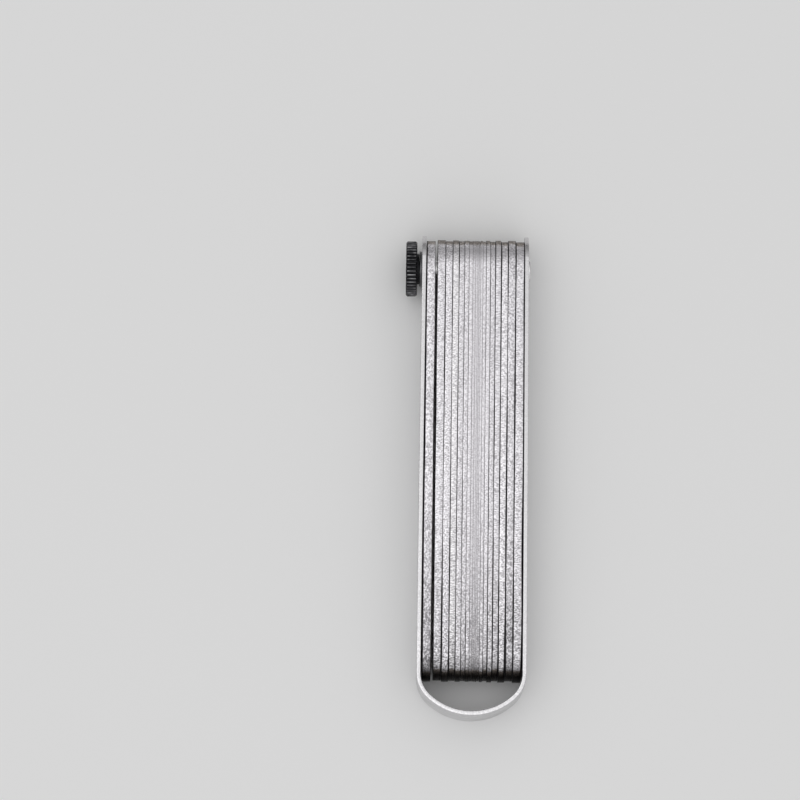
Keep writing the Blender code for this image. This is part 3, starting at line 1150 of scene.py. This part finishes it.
class FEELER_OT_stage(bpy.types.Operator):
    """Lay the floor, light it softly and set the camera"""

    bl_idname = "feeler.stage"
    bl_label = "Stage"

    def execute(self, context):
        settings = context.scene.feeler_stage
        self.floor(settings)
        self.light(context.scene, settings)
        self.camera(context.scene, settings)
        context.scene.view_settings.view_transform = "Standard"
        return {"FINISHED"}

    def floor(self, settings):
        start_clean()
        bpy.ops.mesh.primitive_plane_add(size=settings.floor_size, location=(0, 0, CAD_BOX[0].z))
        edit()
        floor = leave("floor")
        material = bpy.data.materials.new("floor_pale")
        material.use_nodes = True
        shader = material.node_tree.nodes["Principled BSDF"]
        shader.inputs["Base Color"].default_value = (*settings.floor, 1.0)
        shader.inputs["Roughness"].default_value = 0.9
        shader.inputs["Specular IOR Level"].default_value = 0.1
        floor.data.materials.append(material)

    def light(self, scene, settings):
        world = bpy.data.worlds.new("soft_light")
        scene.world = world
        world.use_nodes = True
        tree = world.node_tree
        sky = tree.nodes["Background"]
        direction = put(tree, "ShaderNodeTexCoord").outputs["Generated"]
        spot = put(tree, "ShaderNodeSeparateXYZ", {"Vector": direction}).outputs
        above = squared(tree, math_node(tree, "MAXIMUM", spot["Z"], 0.0))
        level = lerp(tree, above, settings.sky_side, settings.sky_top)
        ahead = squared(tree, math_node(tree, "MINIMUM", spot["Y"], 0.0))
        front = times(tree, ahead, settings.sky_front)
        tree.links.new(math_node(tree, "ADD", level, front), sky.inputs["Strength"])
        sky.inputs["Color"].default_value = (1, 1, 1, 1)
        start_clean()
        bpy.ops.object.light_add(type="AREA", location=LAMP_PLACE)
        lamp = bpy.context.active_object
        lamp.name = "soft_lamp"
        lamp.data.size = settings.lamp_size
        lamp.data.energy = settings.lamp_power
        lamp.rotation_euler = (-lamp.location).to_track_quat("-Z", "Y").to_euler()

    def camera(self, scene, settings):
        aim = Vector((settings.aim_x, settings.aim_y, settings.aim_z))
        look = Vector((0, math.sin(settings.tilt), -math.cos(settings.tilt)))
        rise = Vector((0, math.cos(settings.tilt), math.sin(settings.tilt)))
        side = Vector(ACROSS)
        right = math.cos(settings.roll) * side + math.sin(settings.roll) * rise
        up = math.cos(settings.roll) * rise - math.sin(settings.roll) * side
        start_clean()
        bpy.ops.object.camera_add()
        camera = bpy.context.active_object
        camera.name = "camera"
        turn = Matrix((right, up, -look)).transposed().to_4x4()
        camera.matrix_world = Matrix.Translation(aim - settings.distance * look) @ turn
        camera.data.lens = settings.lens
        camera.data.clip_start, camera.data.clip_end = CLIP_START, CLIP_END
        scene.camera = camera


class FEELER_PT_gauge(bpy.types.Panel):
    """Steps that build the feeler gauge, with the sizes and colours that they use"""

    bl_idname = "FEELER_PT_gauge"
    bl_label = "Feeler Gauge"
    bl_space_type = "VIEW_3D"
    bl_region_type = "UI"
    bl_category = "Feeler Gauge"

    def draw(self, context):
        for operator, group in STEPS:
            box = self.layout.box()
            box.operator(operator.bl_idname)
            if group:
                settings = getattr(context.scene, group[0])
                for key in group[1].__annotations__:
                    box.prop(settings, key)


STEPS = (
    (FEELER_OT_finishes, None),
    (FEELER_OT_bow, ("feeler_bow", BowSettings)),
    (FEELER_OT_blades, ("feeler_blades", BladeSettings)),
    (FEELER_OT_pivot_screw, ("feeler_screw", ScrewSettings)),
    (FEELER_OT_washer, ("feeler_washer", WasherSettings)),
    (FEELER_OT_nut, ("feeler_nut", NutSettings)),
    (FEELER_OT_stage, ("feeler_stage", StageSettings)),
)


def register():
    for operator, group in STEPS:
        bpy.utils.register_class(operator)
        if group:
            bpy.utils.register_class(group[1])
            setattr(bpy.types.Scene, group[0], PointerProperty(type=group[1]))
    bpy.utils.register_class(FEELER_PT_gauge)


def unregister():
    bpy.utils.unregister_class(FEELER_PT_gauge)
    for operator, group in reversed(STEPS):
        bpy.utils.unregister_class(operator)
        if group:
            delattr(bpy.types.Scene, group[0])
            bpy.utils.unregister_class(group[1])


def main():
    register()
    bpy.ops.feeler.finishes()
    bpy.ops.feeler.stage()
    bpy.ops.feeler.bow()
    bpy.ops.feeler.blades()
    bpy.ops.feeler.pivot_screw()
    bpy.ops.feeler.washer()
    bpy.ops.feeler.nut()
    start_clean()


if __name__ == "__main__":
    main()
